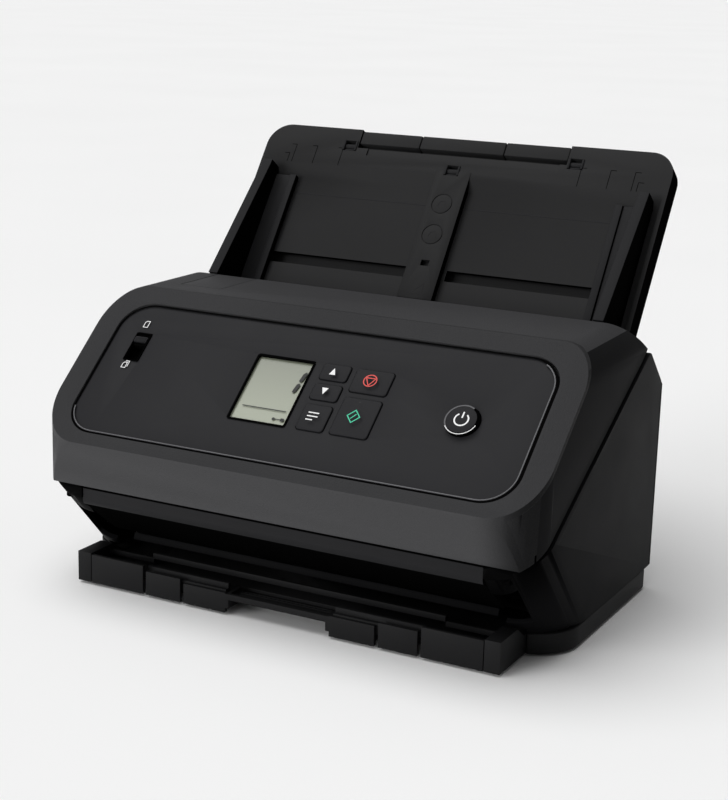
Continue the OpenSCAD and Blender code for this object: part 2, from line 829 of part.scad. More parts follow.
bottom_cover();
rubber_feet();
left_side_cover();
right_side_cover();
rear_cover();
exit_guide();
lower_paper_guide();
left_frame();
right_frame();
main_board();
usb_port();
power_inlet();
lower_image_sensor();
drive_motor();
drive_belt();
hinge_pins();
cover_screws();
feed_tray();
tray_back_cover();
tray_catches();
eject_tray_frame();
motor_pulley();
feed_shaft();
feed_tyres();
feed_pulley();
registration_shaft();
registration_tyres();
registration_pulley();
eject_shaft();
eject_tyres();
eject_pulley();
tray_extension();
tray_extension_inner();
left_guide();
right_guide();
guide_pinion();
eject_stage_1();
eject_stage_2();
eject_stage_3();
eject_stopper();
front_shell();
front_bezel();
front_rim();
upper_paper_guide();
control_panel();
lcd_module();
panel_board();
upper_image_sensor();
retard_roller();
registration_idlers();
eject_idlers();
open_lever();
latch_bar();
up_key();
down_key();
function_key();
stop_key();
start_key();
power_button();
feed_select_slider();
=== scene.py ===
"""Looks of the desktop sheet fed scanner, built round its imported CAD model. Metres, X right, Y back, Z up."""

import json
import math

import bmesh
import bpy
from mathutils import Matrix, Vector


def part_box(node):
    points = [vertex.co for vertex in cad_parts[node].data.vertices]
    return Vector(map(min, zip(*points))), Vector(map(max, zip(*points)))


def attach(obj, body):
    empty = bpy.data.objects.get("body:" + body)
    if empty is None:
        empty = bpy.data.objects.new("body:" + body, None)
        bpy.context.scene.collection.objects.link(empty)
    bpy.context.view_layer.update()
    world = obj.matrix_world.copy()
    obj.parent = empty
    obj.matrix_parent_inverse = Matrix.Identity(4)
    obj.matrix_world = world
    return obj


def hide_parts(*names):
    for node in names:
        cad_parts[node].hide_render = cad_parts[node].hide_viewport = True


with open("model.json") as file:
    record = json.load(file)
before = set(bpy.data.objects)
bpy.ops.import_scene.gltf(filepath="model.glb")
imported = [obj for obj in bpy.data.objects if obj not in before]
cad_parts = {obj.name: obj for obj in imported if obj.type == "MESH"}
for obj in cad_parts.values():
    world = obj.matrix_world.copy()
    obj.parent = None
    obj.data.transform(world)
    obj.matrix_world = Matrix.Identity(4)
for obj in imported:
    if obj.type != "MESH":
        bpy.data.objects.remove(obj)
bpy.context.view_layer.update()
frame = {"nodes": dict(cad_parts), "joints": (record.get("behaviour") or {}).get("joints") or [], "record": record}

MM = 0.001
JOINTS = {j["name"]: j for j in frame["joints"]}
BODY_OF = {n: b for b, ns in frame["record"]["behaviour"]["bodies"].items() for n in ns}


# ---------- places on the sloped panel and on the leaning tray ----------


class Plane:
    """A plane across the scanner. Its places are x, up the plane and out of the plane, in millimetres."""

    def __init__(self, up, origin_y, origin_z):
        self.up = Vector(up)
        self.out = Vector((0, -up[2], up[1]))
        self.origin = Vector((0, origin_y, origin_z))

    def at(self, x, s, h):
        return self.origin + MM * (Vector((x, 0, 0)) + s * self.up + h * self.out)


PANEL_SINK = 1.2
PANEL_EDGE = 0.6
PANEL_BACK = 2.5


def panel_plane():
    """The panel's face, from its lower edge up. The keys are pressed square to it."""
    inward = JOINTS["press_up"]["axis"]
    up = Vector((0, -inward[2], inward[1]))
    low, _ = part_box("control_panel")
    y = low.y - MM * (PANEL_EDGE * up.y + PANEL_BACK * up.z)
    z = low.z - MM * (PANEL_EDGE * up.z - PANEL_BACK * up.y)
    return Plane(up, y, z)


TRAY_LEN = 102
TRAY_BODY_BACK = 10


def tray_plane():
    """The tray's face, from its foot up. The extension slides along it."""
    up = Vector(JOINTS["extension_slide"]["axis"])
    _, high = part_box("feed_tray")
    y = high.y - MM * (TRAY_LEN * up.y + TRAY_BODY_BACK * up.z)
    z = high.z - MM * TRAY_LEN * up.z
    return Plane(up, y, z)


PANEL = panel_plane()
TRAY = tray_plane()


# ---------- materials ----------

# Pitch and depth of the plastics' grain, and where the painted shade of two of them runs, all in metres.
COARSE_GRAIN = 0.0008
FINE_GRAIN = 0.00042
TRAY_GRAIN = 0.00038
FINE_DEPTH = 0.00004
BAND_FADE = (0.108, 0.134)
SIDE_FADE = (-0.068, -0.1)


def shader(name, colour, roughness, metallic=0.0, specular=0.5, coat=0.0):
    """A plain material and its surface node, for the finishes below to build on."""
    material = bpy.data.materials.new(name)
    material.use_nodes = True
    nodes = material.node_tree.nodes
    surface = nodes["Principled BSDF"]
    surface.inputs["Base Color"].default_value = (*colour, 1)
    surface.inputs["Roughness"].default_value = roughness
    surface.inputs["Metallic"].default_value = metallic
    surface.inputs["Specular IOR Level"].default_value = specular
    surface.inputs["Coat Weight"].default_value = coat
    surface.inputs["Coat Roughness"].default_value = 0.12
    return material, surface


def add(material, kind, **values):
    """A new node of a material, with its properties and its sockets' values set by name."""
    node = material.node_tree.nodes.new(kind)
    for key, value in values.items():
        if key in node.inputs:
            node.inputs[key].default_value = value
        else:
            setattr(node, key, value)
    return node


def join(material, source, output, target, entry):
    material.node_tree.links.new(source.outputs[output], target.inputs[entry])


def object_noise(material, scale, detail=2.0, stretch=None):
    place = add(material, "ShaderNodeTexCoord")
    noise = add(material, "ShaderNodeTexNoise", Scale=scale, Detail=detail)
    if stretch:
        mapping = add(material, "ShaderNodeMapping", Scale=stretch)
        join(material, place, "Object", mapping, "Vector")
        join(material, mapping, "Vector", noise, "Vector")
    else:
        join(material, place, "Object", noise, "Vector")
    return noise


def vary_colour(material, surface, colour, amount, scale):
    """Slow, faint variation of the base colour, as on a moulded cover that has been handled."""
    noise = object_noise(material, scale)
    ramp = add(material, "ShaderNodeValToRGB")
    ramp.color_ramp.elements[0].position = 0.3
    ramp.color_ramp.elements[1].position = 0.7
    ramp.color_ramp.elements[0].color = (*(c * (1 - amount) for c in colour), 1)
    ramp.color_ramp.elements[1].color = (*(c * (1 + amount) for c in colour), 1)
    join(material, noise, "Fac", ramp, "Fac")
    join(material, ramp, "Color", surface, "Base Color")


def vary_roughness(material, surface, low, high, scale):
    noise = object_noise(material, scale, detail=4.0)
    spread = add(material, "ShaderNodeMapRange")
    spread.inputs["To Min"].default_value = low
    spread.inputs["To Max"].default_value = high
    join(material, noise, "Fac", spread, "Value")
    join(material, spread, "Result", surface, "Roughness")


def grained_plastic(name, colour, roughness, grain, depth, specular):
    """Moulded plastic with the grain of a spark eroded tool. grain is its pitch in metres."""
    material, surface = shader(name, colour, roughness, specular=specular)
    vary_colour(material, surface, colour, 0.06, 9)
    vary_roughness(material, surface, roughness - 0.05, roughness + 0.05, 40)
    fine = object_noise(material, 1 / grain, detail=3.0)
    bump = add(material, "ShaderNodeBump", Strength=1.0, Distance=depth)
    join(material, fine, "Fac", bump, "Height")
    join(material, bump, "Normal", surface, "Normal")
    return material


def fade_along(material, colour, dark, axis, start, end):
    """Deepens the base colour from start to end along an axis of the scanner, in metres."""
    surface = material.node_tree.nodes["Principled BSDF"]
    place = add(material, "ShaderNodeTexCoord")
    parts = add(material, "ShaderNodeSeparateXYZ")
    join(material, place, "Object", parts, "Vector")
    reach = add(material, "ShaderNodeMapRange", interpolation_type="SMOOTHSTEP")
    reach.inputs["From Min"].default_value = start
    reach.inputs["From Max"].default_value = end
    join(material, parts, axis, reach, "Value")
    ramp = add(material, "ShaderNodeValToRGB")
    ramp.color_ramp.elements[0].color = (*colour, 1)
    ramp.color_ramp.elements[1].color = (*dark, 1)
    join(material, reach, "Result", ramp, "Fac")
    join(material, ramp, "Color", surface, "Base Color")
    return material


def band_painted_light_and_shade(name, colour, dark):
    """The bezel's front band: a lighter copy of the bezel's plastic, whose extra lightness is painted light. Its
    painted shade round the right corner is part of the material.
    """
    material = grained_plastic(name, colour, 0.55, COARSE_GRAIN, 0.00032, specular=0.06)
    return fade_along(material, colour, dark, "X", *BAND_FADE)


def side_plastic(name, colour, dark):
    """The side covers. Their shade under the front unit is part of the material."""
    material = grained_plastic(name, colour, 0.45, FINE_GRAIN, FINE_DEPTH, specular=0.015)
    return fade_along(material, colour, dark, "Y", *SIDE_FADE)


def satin_plastic(name, colour, roughness, specular=0.5, coat=0.0):
    """Smooth moulded plastic, with a faint ripple and dull patches."""
    material, surface = shader(name, colour, roughness, specular=specular, coat=coat)
    vary_colour(material, surface, colour, 0.04, 14)
    vary_roughness(material, surface, roughness - 0.04, roughness + 0.06, 60)
    ripple = object_noise(material, 900, detail=2.0)
    bump = add(material, "ShaderNodeBump", Strength=0.25, Distance=0.00004)
    join(material, ripple, "Fac", bump, "Height")
    join(material, bump, "Normal", surface, "Normal")
    return material


def turned_metal(name, colour, roughness):
    """Steel or brass with fine lines from the tool, which run round the X axis."""
    material, surface = shader(name, colour, roughness, metallic=1.0)
    lines = object_noise(material, 400, detail=3.0, stretch=(12, 1, 1))
    bump = add(material, "ShaderNodeBump", Strength=0.3, Distance=0.00005)
    join(material, lines, "Fac", bump, "Height")
    join(material, bump, "Normal", surface, "Normal")
    vary_roughness(material, surface, roughness - 0.08, roughness + 0.1, 120)
    return material


def rubber(name, colour):
    """Dull black rubber, with a little dust on it."""
    material, surface = shader(name, colour, 0.8, specular=0.25)
    vary_colour(material, surface, colour, 0.12, 60)
    dust = object_noise(material, 1500, detail=2.0)
    bump = add(material, "ShaderNodeBump", Strength=0.5, Distance=0.00006)
    join(material, dust, "Fac", bump, "Height")
    join(material, bump, "Normal", surface, "Normal")
    return material


def circuit_board(name):
    """Green lacquer over copper tracks."""
    material, surface = shader(name, (0.01, 0.09, 0.035), 0.35)
    place = add(material, "ShaderNodeTexCoord")
    tracks = add(material, "ShaderNodeTexBrick", Scale=160.0)
    tracks.inputs["Color1"].default_value = (0.008, 0.08, 0.03, 1)
    tracks.inputs["Color2"].default_value = (0.012, 0.10, 0.04, 1)
    tracks.inputs["Mortar"].default_value = (0.03, 0.17, 0.07, 1)
    join(material, place, "Object", tracks, "Vector")
    join(material, tracks, "Color", surface, "Base Color")
    return material


def display_glass(name):
    """The display's grey green ground, with painted shade that makes it a little darker towards its top."""
    bottom_colour = (0.27, 0.293, 0.22)
    top_colour = (0.15, 0.163, 0.122)
    material, surface = shader(name, bottom_colour, 0.3, coat=0.25)
    place = add(material, "ShaderNodeTexCoord")
    parts = add(material, "ShaderNodeSeparateXYZ")
    join(material, place, "Object", parts, "Vector")
    low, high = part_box("lcd_module")
    height = add(material, "ShaderNodeMapRange")
    height.inputs["From Min"].default_value = low.z
    height.inputs["From Max"].default_value = high.z
    join(material, parts, "Z", height, "Value")
    ramp = add(material, "ShaderNodeValToRGB")
    ramp.color_ramp.elements[0].color = (*bottom_colour, 1)
    ramp.color_ramp.elements[1].color = (*top_colour, 1)
    join(material, height, "Result", ramp, "Fac")
    join(material, ramp, "Color", surface, "Base Color")
    return material


def ink(name, colour):
    """Printed mark, and the painted highlights on the power button's rim: flat colour with a faint mottle."""
    material, surface = shader(name, colour, 0.5, specular=0.3)
    vary_colour(material, surface, colour, 0.05, 500)
    return material


M = {
    "bezel": grained_plastic("bezel_plastic", (0.0305, 0.0305, 0.032), 0.55, COARSE_GRAIN, 0.0003, 0.06),
    "band": band_painted_light_and_shade("band_painted_light_and_shade", (0.058, 0.058, 0.060), (0.0105, 0.0105, 0.011)),
    "top": grained_plastic("top_plastic", (0.044, 0.044, 0.046), 0.55, COARSE_GRAIN, 0.00025, 0.06),
    # A darker copy of the top's plastic: painted shade on the shell's sides and underside.
    "flank": grained_plastic("flank_painted_shade", (0.0105, 0.0105, 0.011), 0.5, FINE_GRAIN, FINE_DEPTH, 0.015),
    "side": side_plastic("side_plastic", (0.0055, 0.0055, 0.006), (0.0013, 0.0013, 0.0014)),
    "skirt": grained_plastic("skirt_plastic", (0.0125, 0.0125, 0.013), 0.45, FINE_GRAIN, FINE_DEPTH, 0.05),
    "panel": satin_plastic("panel_plastic", (0.0155, 0.0155, 0.017), 0.42, specular=0.07),
    "key": satin_plastic("key_plastic", (0.0145, 0.0145, 0.016), 0.42, specular=0.07),
    "tray": grained_plastic("tray_plastic", (0.019, 0.019, 0.0195), 0.5, TRAY_GRAIN, FINE_DEPTH, 0.06),
    "guide": satin_plastic("guide_plastic", (0.015, 0.015, 0.016), 0.5, specular=0.06),
    # Near black, for black parts, and also as painted shade on faces that lie in shade: the rim under the band,
    # faces of the tray, back cover and guides, the slot ring, the display frame and the hinge pins.
    "dark": satin_plastic("black_plastic_and_painted_shade", (0.002, 0.002, 0.002), 0.8, specular=0.0),
    "eject": grained_plastic("eject_plastic", (0.011, 0.011, 0.0115), 0.45, TRAY_GRAIN, FINE_DEPTH, 0.08),
    "pulley": satin_plastic("pulley_plastic", (0.62, 0.60, 0.55), 0.4),
    "steel": turned_metal("steel", (0.55, 0.56, 0.57), 0.32),
    "blackened": turned_metal("blackened_steel", (0.06, 0.06, 0.062), 0.45),
    "brass": turned_metal("brass", (0.58, 0.44, 0.2), 0.3),
    "rubber": rubber("rubber", (0.015, 0.015, 0.015)),
    "board": circuit_board("board_lacquer"),
    "lens": satin_plastic("sensor_glass", (0.01, 0.014, 0.014), 0.08, coat=0.5),
    "display": display_glass("display_ground"),
    "white_ink_and_highlight": ink("white_ink_and_highlight", (0.78, 0.78, 0.78)),
    # Light grey for the bead round the panel: a painted highlight.
    "painted_highlight_grey": satin_plastic("painted_highlight_grey", (0.075, 0.075, 0.08), 0.3, specular=0.3),
    "soft_highlight_grey": ink("soft_highlight_grey", (0.075, 0.075, 0.08)),
    "red_ink": ink("red_ink", (0.62, 0.07, 0.06)),
    "green_ink": ink("green_ink", (0.05, 0.50, 0.30)),
    "black_ink": ink("black_ink", (0.012, 0.013, 0.012)),
}


# ---------- making pieces ----------


SHARP = 30


def paint(obj, material):
    obj.data.materials.clear()
    obj.data.materials.append(material)


def piece(name, mesh, material, body):
    """Links a mesh as a finished piece, shades it, and lets it ride on a CAD body."""
    obj = bpy.data.objects.new(name, mesh)
    bpy.context.scene.collection.objects.link(obj)
    mesh.shade_smooth()
    mesh.set_sharp_from_angle(angle=math.radians(SHARP))
    paint(obj, material)
    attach(obj, body)
    return obj


def prism_into(bm, rings, place, h0, h1):
    """Adds a prism to bm. rings is a loop of [x, s] points, or an outer and an inner loop of equal length."""
    levels = []
    for h in (h0, h1):
        levels.append([[bm.verts.new(place(x, s, h)) for x, s in ring] for ring in rings])
    low, high = levels
    n = len(rings[0])
    if len(rings) == 1:
        bm.faces.new(high[0])
        bm.faces.new(list(reversed(low[0])))
    for i in range(n):
        j = (i + 1) % n
        bm.faces.new((low[0][i], low[0][j], high[0][j], high[0][i]))
        if len(rings) == 2:
            bm.faces.new((low[1][j], low[1][i], high[1][i], high[1][j]))
            bm.faces.new((high[0][i], high[0][j], high[1][j], high[1][i]))
            bm.faces.new((low[0][j], low[0][i], low[1][i], low[1][j]))


def shape(name, prisms, place, material, body, bevel=0.0):
    """One piece from a list of prisms (rings, h0, h1), with softened edges."""
    bm = bmesh.new()
    for rings, h0, h1 in prisms:
        prism_into(bm, rings, place, h0, h1)
    bmesh.ops.recalc_face_normals(bm, faces=bm.faces)
    mesh = bpy.data.meshes.new(name)
    bm.to_mesh(mesh)
    bm.free()
    obj = piece(name, mesh, material, body)
    if bevel:
        soften_edges(obj, bevel)
    return obj


def weigh_edges(mesh, left_sharp):
    """Marks the sharp edges for the bevel, apart from those whose middle passes the test."""
    bm = bmesh.new()
    bm.from_mesh(mesh)
    layer = bm.edges.layers.float.new("bevel_weight_edge")
    for edge in bm.edges:
        middle = (edge.verts[0].co + edge.verts[1].co) / 2
        is_sharp = len(edge.link_faces) == 2 and edge.calc_face_angle(0) > math.radians(SHARP)
        if is_sharp and not left_sharp(middle):
            edge[layer] = 1.0
    bm.to_mesh(mesh)
    bm.free()


def nowhere(middle):
    return False


def soften_edges(obj, width, segments=2, left_sharp=nowhere):
    """Applies a bevel to every sharp edge that is not to be left sharp."""
    weigh_edges(obj.data, left_sharp)
    modifier = obj.modifiers.new("edges", "BEVEL")
    modifier.width = width
    modifier.segments = segments
    modifier.limit_method = "WEIGHT"
    modifier.use_clamp_overlap = True
    graph = bpy.context.evaluated_depsgraph_get()
    mesh = bpy.data.meshes.new_from_object(obj.evaluated_get(graph))
    obj.modifiers.clear()
    obj.data = mesh
    mesh.shade_smooth()
    mesh.set_sharp_from_angle(angle=math.radians(40))


def softened_node(node, width, material, segments=3, left_sharp=nowhere):
    """A copy of a CAD node's mesh with rounded edges, which stands for the node."""
    mesh = frame["nodes"][node].data.copy()
    bm = bmesh.new()
    bm.from_mesh(mesh)
    bmesh.ops.remove_doubles(bm, verts=bm.verts, dist=1e-6)
    bmesh.ops.dissolve_limit(bm, angle_limit=math.radians(0.5), verts=bm.verts, edges=bm.edges)
    bm.to_mesh(mesh)
    bm.free()
    mesh.materials.clear()
    obj = piece(node + "_piece", mesh, material, BODY_OF[node])
    soften_edges(obj, width, segments, left_sharp=left_sharp)
    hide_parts(node)
    return obj


def rounded_box(x0, s0, x1, s1, r, steps=5):
    """Outline of a rectangle with round corners, counterclockwise."""
    points = []
    corners = ((x1 - r, s0 + r, -90), (x1 - r, s1 - r, 0), (x0 + r, s1 - r, 90), (x0 + r, s0 + r, 180))
    for cx, cs, start in corners:
        for k in range(steps + 1):
            a = math.radians(start + 90 * k / steps)
            points.append((cx + r * math.cos(a), cs + r * math.sin(a)))
    return points


def circle(cx, cs, r, steps=48, start=0, sweep=360):
    """Points on a circle, or on an arc of sweep degrees from start, with both its ends."""
    points = []
    for k in range(steps if sweep == 360 else steps + 1):
        a = math.radians(start + sweep * k / steps)
        points.append((cx + r * math.cos(a), cs + r * math.sin(a)))
    return points


def stroke(points, width, closed=False):
    """Rings of a line of even width through points: two loops where it closes, one where it is open."""
    n = len(points)
    sides = ([], [])
    for i, (x, s) in enumerate(points):
        before = points[i - 1] if i or closed else points[0]
        after = points[(i + 1) % n] if i < n - 1 or closed else points[-1]
        if before == (x, s):
            before = (2 * x - after[0], 2 * s - after[1])
        if after == (x, s):
            after = (2 * x - before[0], 2 * s - before[1])
        a = Vector((x - before[0], s - before[1])).normalized()
        b = Vector((after[0] - x, after[1] - s)).normalized()
        normal = Vector((a.y + b.y, -a.x - b.x)).normalized()
        reach = width / 2 / max(0.35, normal.dot(Vector((a.y, -a.x))))
        sides[0].append((x + normal.x * reach, s + normal.y * reach))
        sides[1].append((x - normal.x * reach, s - normal.y * reach))
    if closed:
        return [sides[0], sides[1]]
    return [sides[0] + list(reversed(sides[1]))]


# ---------- repeated parts, by geometry nodes ----------


def scatter_tree():
    """Sets a part on every point of the carrying mesh, all turned alike."""
    tree = bpy.data.node_groups.new("set_parts_on_points", "GeometryNodeTree")
    face = tree.interface
    face.new_socket("Points", in_out="INPUT", socket_type="NodeSocketGeometry")
    face.new_socket("Part", in_out="INPUT", socket_type="NodeSocketObject")
    face.new_socket("Turn", in_out="INPUT", socket_type="NodeSocketVector")
    face.new_socket("Finish", in_out="INPUT", socket_type="NodeSocketMaterial")
    face.new_socket("Parts", in_out="OUTPUT", socket_type="NodeSocketGeometry")
    entry = tree.nodes.new("NodeGroupInput")
    leave = tree.nodes.new("NodeGroupOutput")
    info = tree.nodes.new("GeometryNodeObjectInfo")
    spread = tree.nodes.new("GeometryNodeInstanceOnPoints")
    turn = tree.nodes.new("FunctionNodeEulerToRotation")
    realize = tree.nodes.new("GeometryNodeRealizeInstances")
    finish = tree.nodes.new("GeometryNodeSetMaterial")
    link = tree.links.new
    link(entry.outputs["Part"], info.inputs["Object"])
    link(entry.outputs["Points"], spread.inputs["Points"])
    link(info.outputs["Geometry"], spread.inputs["Instance"])
    link(entry.outputs["Turn"], turn.inputs["Euler"])
    link(turn.outputs["Rotation"], spread.inputs["Rotation"])
    link(spread.outputs["Instances"], realize.inputs["Geometry"])
    link(realize.outputs["Geometry"], finish.inputs["Geometry"])
    link(entry.outputs["Finish"], finish.inputs["Material"])
    link(finish.outputs["Geometry"], leave.inputs["Parts"])
    return tree


SCATTER = scatter_tree()


def scattered(name, places, part, turn, material, body):
    """One piece made of a part set at each place."""
    points = bpy.data.meshes.new(name + "_points")
    points.from_pydata([tuple(p) for p in places], [], [])
    carrier = bpy.data.objects.new(name + "_carrier", points)
    bpy.context.scene.collection.objects.link(carrier)
    modifier = carrier.modifiers.new("parts", "NODES")
    modifier.node_group = SCATTER
    values = {"Part": part, "Turn": turn, "Finish": material}
    for socket in SCATTER.interface.items_tree:
        if socket.in_out == "INPUT" and socket.name in values:
            modifier[socket.identifier] = values[socket.name]
    graph = bpy.context.evaluated_depsgraph_get()
    mesh = bpy.data.meshes.new_from_object(carrier.evaluated_get(graph))
    carrier.modifiers.clear()
    bpy.data.objects.remove(carrier)
    bpy.data.objects.remove(part)
    return piece(name, mesh, material, body)


def loose_part(name, prisms):
    """A part for scattering, flat on XY, in millimetres."""
    bm = bmesh.new()
    for rings, h0, h1 in prisms:
        prism_into(bm, rings, lambda x, s, h: Vector((x, s, h)) * MM, h0, h1)
    bmesh.ops.recalc_face_normals(bm, faces=bm.faces)
    mesh = bpy.data.meshes.new(name)
    bm.to_mesh(mesh)
    bm.free()
    obj = bpy.data.objects.new(name, mesh)
    bpy.context.scene.collection.objects.link(obj)
    return obj


# ---------- covers ----------


def paint_where(obj, material, chosen):
    """Gives another material to the faces that pass the test."""
    obj.data.materials.append(material)
    last = len(obj.data.materials) - 1
    for face in obj.data.polygons:
        if chosen(face):
            face.material_index = last


CORNER_X = 0.1215
CORNER_Y = -0.085
BAND_TOP = 0.083
COVER_FRONT = -0.09


def on_band_seam(middle):
    """True on the flush seam of bezel and shell, where the band turns the corner."""
    return abs(middle.x) > CORNER_X and middle.y < CORNER_Y and middle.z < BAND_TOP


def at_cover_front(middle):
    """True where the side covers turn in under the front unit."""
    return middle.y < COVER_FRONT


def is_upright(face):
    return face.normal.z < 0.45


def is_flank(face):
    """True for the front shell's sides and for what faces down."""
    n = face.normal
    return abs(n.x) > 0.6 and n.y > -0.4 or n.z < -0.2


def is_front(face):
    return face.normal.y < -0.4 and is_upright(face)


def faces_right(face):
    return face.normal.x > 0.7


def finish_covers():
    bezel = softened_node("front_bezel", 1.6 * MM, M["bezel"], 4, on_band_seam)
    # The bezel's upright faces take the band's lighter plastic: painted light, with painted shade round the right
    # corner.
    paint_where(bezel, M["band"], is_upright)
    shell = softened_node("front_shell", 1.0 * MM, M["top"], left_sharp=on_band_seam)
    # The shell's sides and the faces that face down take a darker copy of its plastic: painted shade.
    paint_where(shell, M["flank"], is_flank)
    # The shell's front faces take the same lighter plastic: painted light.
    paint_where(shell, M["band"], is_front)
    softened_node("open_lever", 0.5 * MM, M["top"])
    # The rim under the band is painted near black: painted shade in the undercut. Its front strip keeps the
    # guides' plastic.
    rim = softened_node("front_rim", 0.6 * MM, M["dark"])
    strip_end = min(v.co.y for v in rim.data.vertices) + 1.2 * MM
    paint_where(rim, M["guide"], lambda face: face.center.y < strip_end)
    for node in ("left_side_cover", "right_side_cover", "rear_cover"):
        softened_node(node, 0.8 * MM, M["side"], left_sharp=at_cover_front)
    softened_node("bottom_cover", 0.6 * MM, M["skirt"])
    softened_node("exit_guide", 0.4 * MM, M["side"])


RECESS = -4.3 * MM
SLOTS_X = 0.11
SLOTS_TOP = 85 * MM


def height_on_tray(point):
    """Distance of a point in front of the tray's face, in metres."""
    return (point - TRAY.origin).dot(TRAY.out)


def is_sunk(face):
    """True for faces deeper than the tray's recess, such as the walls of its slots."""
    return height_on_tray(face.center) < RECESS


def is_tray_inside(face):
    """True for faces of the back cover that face the tray, away from its edges."""
    up_tray = (face.center - TRAY.origin).dot(TRAY.up)
    return face.normal.dot(TRAY.out) > 0.3 and abs(face.center.x) < SLOTS_X and up_tray < SLOTS_TOP


def finish_tray():
    tray = softened_node("feed_tray", 0.5 * MM, M["tray"])
    # Faces of the tray that face right, and the sunk faces of its slots, are painted near black: painted shade.
    paint_where(tray, M["dark"], lambda f: faces_right(f) or is_sunk(f) and abs(f.center.x) < SLOTS_X)
    back = softened_node("tray_back_cover", 0.8 * MM, M["tray"])
    # Faces of the back cover that face right or face the tray behind its slots are painted near black: painted
    # shade.
    paint_where(back, M["dark"], lambda f: faces_right(f) or is_tray_inside(f))
    for node in ("tray_extension", "tray_extension_inner"):
        softened_node(node, 0.6 * MM, M["tray"])
    for node in ("left_guide", "right_guide"):
        guide = softened_node(node, 0.5 * MM, M["guide"])
        # Faces of the guides that face right, and their sunk faces, are painted near black: painted shade.
        paint_where(guide, M["dark"], lambda f: faces_right(f) or is_sunk(f))
    softened_node("tray_catches", 0.2 * MM, M["guide"])


def finish_eject_tray():
    softened_node("eject_tray_frame", 0.6 * MM, M["eject"])
    for node in ("eject_stage_1", "eject_stage_2", "eject_stage_3", "eject_stopper"):
        softened_node(node, 0.5 * MM, M["eject"])


def finish_panel():
    softened_node("control_panel", 0.5 * MM, M["panel"])
    for node in ("up_key", "down_key", "function_key", "stop_key", "start_key"):
        softened_node(node, 0.5 * MM, M["key"])
    softened_node("power_button", 0.4 * MM, M["dark"])
    softened_node("feed_select_slider", 0.5 * MM, M["dark"])


def finish_hidden_nodes():
    """The nodes that keep their own mesh: the display and all that is inside, behind or below."""
    finishes = {
        "lcd_module": "display",
        "main_board": "board",
        "panel_board": "dark",
        "lower_paper_guide": "dark",
        "upper_paper_guide": "dark",
        "lower_image_sensor": "lens",
        "upper_image_sensor": "lens",
        "left_frame": "steel",
        "right_frame": "steel",
        "usb_port": "steel",
        "drive_motor": "steel",
        "feed_shaft": "steel",
        "registration_shaft": "steel",
        "eject_shaft": "steel",
        # The hinge pins take the near-black plastic in place of steel: painted shade.
        "hinge_pins": "dark",
        "cover_screws": "steel",
        "latch_bar": "steel",
        "power_inlet": "dark",
        "rubber_feet": "rubber",
        "feed_tyres": "rubber",
        "registration_tyres": "rubber",
        "eject_tyres": "rubber",
        "retard_roller": "rubber",
        "drive_belt": "rubber",
        "feed_pulley": "pulley",
        "registration_pulley": "pulley",
        "eject_pulley": "pulley",
        "guide_pinion": "pulley",
        "registration_idlers": "pulley",
        "eject_idlers": "pulley",
        "motor_pulley": "brass",
    }
    for node, finish in finishes.items():
        paint(frame["nodes"][node], M[finish])


# ---------- control panel details ----------

KEY_TOP = 0.8
INK = 0.06


def panel_mark(name, rings, top, material, body="front_unit"):
    """Printed marks on the panel or on a key, whose face is at the height top."""
    return shape(name, [(r, top - 0.02, top + INK) for r in rings], PANEL.at, M[material], body)


def key_mark(name, rings, material, body):
    panel_mark(name, rings, KEY_TOP, material, body)


def make_key_marks():
    key_mark("up_mark", [[[(8.6, 57.2), (12.1, 57.2), (10.35, 61.2)]]], "white_ink_and_highlight", "key_up")
    key_mark("down_mark", [[[(10.35, 44.9), (12.1, 48.9), (8.6, 48.9)]]], "white_ink_and_highlight", "key_down")
    x = 7.6
    bars = [[rounded_box(x, s, x + w, s + 0.6, 0.25)] for s, w in ((33.2, 6.0), (31.1, 6.0), (29.0, 3.8))]
    key_mark("function_mark", bars, "white_ink_and_highlight", "key_function")
    x, s = 31.8, 57
    triangle = circle(x, s, 3.0, 3, 30)
    stop = [stroke(circle(x, s, 3.4), 0.55, True), stroke(triangle, 0.5, True)]
    key_mark("stop_mark", stop, "red_ink", "key_stop")
    diamond = [(x, 31.4), (x + 3.4, 35.1), (x, 38.8), (x - 3.4, 35.1)]
    start = [stroke(diamond, 0.55, True), stroke([(x - 1.1, 33.6), (x + 1.1, 36.6)], 0.5)]
    key_mark("start_mark", start, "green_ink", "key_start")
    key_mark("start_lamp", [[circle(x, 43.6, 0.35, 16)]], "black_ink", "key_start")


def make_selector_marks():
    page = [(-110.7, 70.7), (-108.1, 70.7), (-108.1, 74.7), (-109.8, 74.7), (-110.7, 73.8)]
    top = -PANEL_SINK
    panel_mark("single_sheet_mark", [stroke(page, 0.4, True)], top, "white_ink_and_highlight")
    front = [(-110.6, 43.6), (-108.2, 43.6), (-108.2, 47.0), (-109.8, 47.0), (-110.6, 46.2)]
    behind = [(-107.3, 44.4), (-107.3, 47.9), (-109.6, 47.9)]
    panel_mark("stack_mark", [stroke(front, 0.4, True), stroke(behind, 0.4)], top, "white_ink_and_highlight")


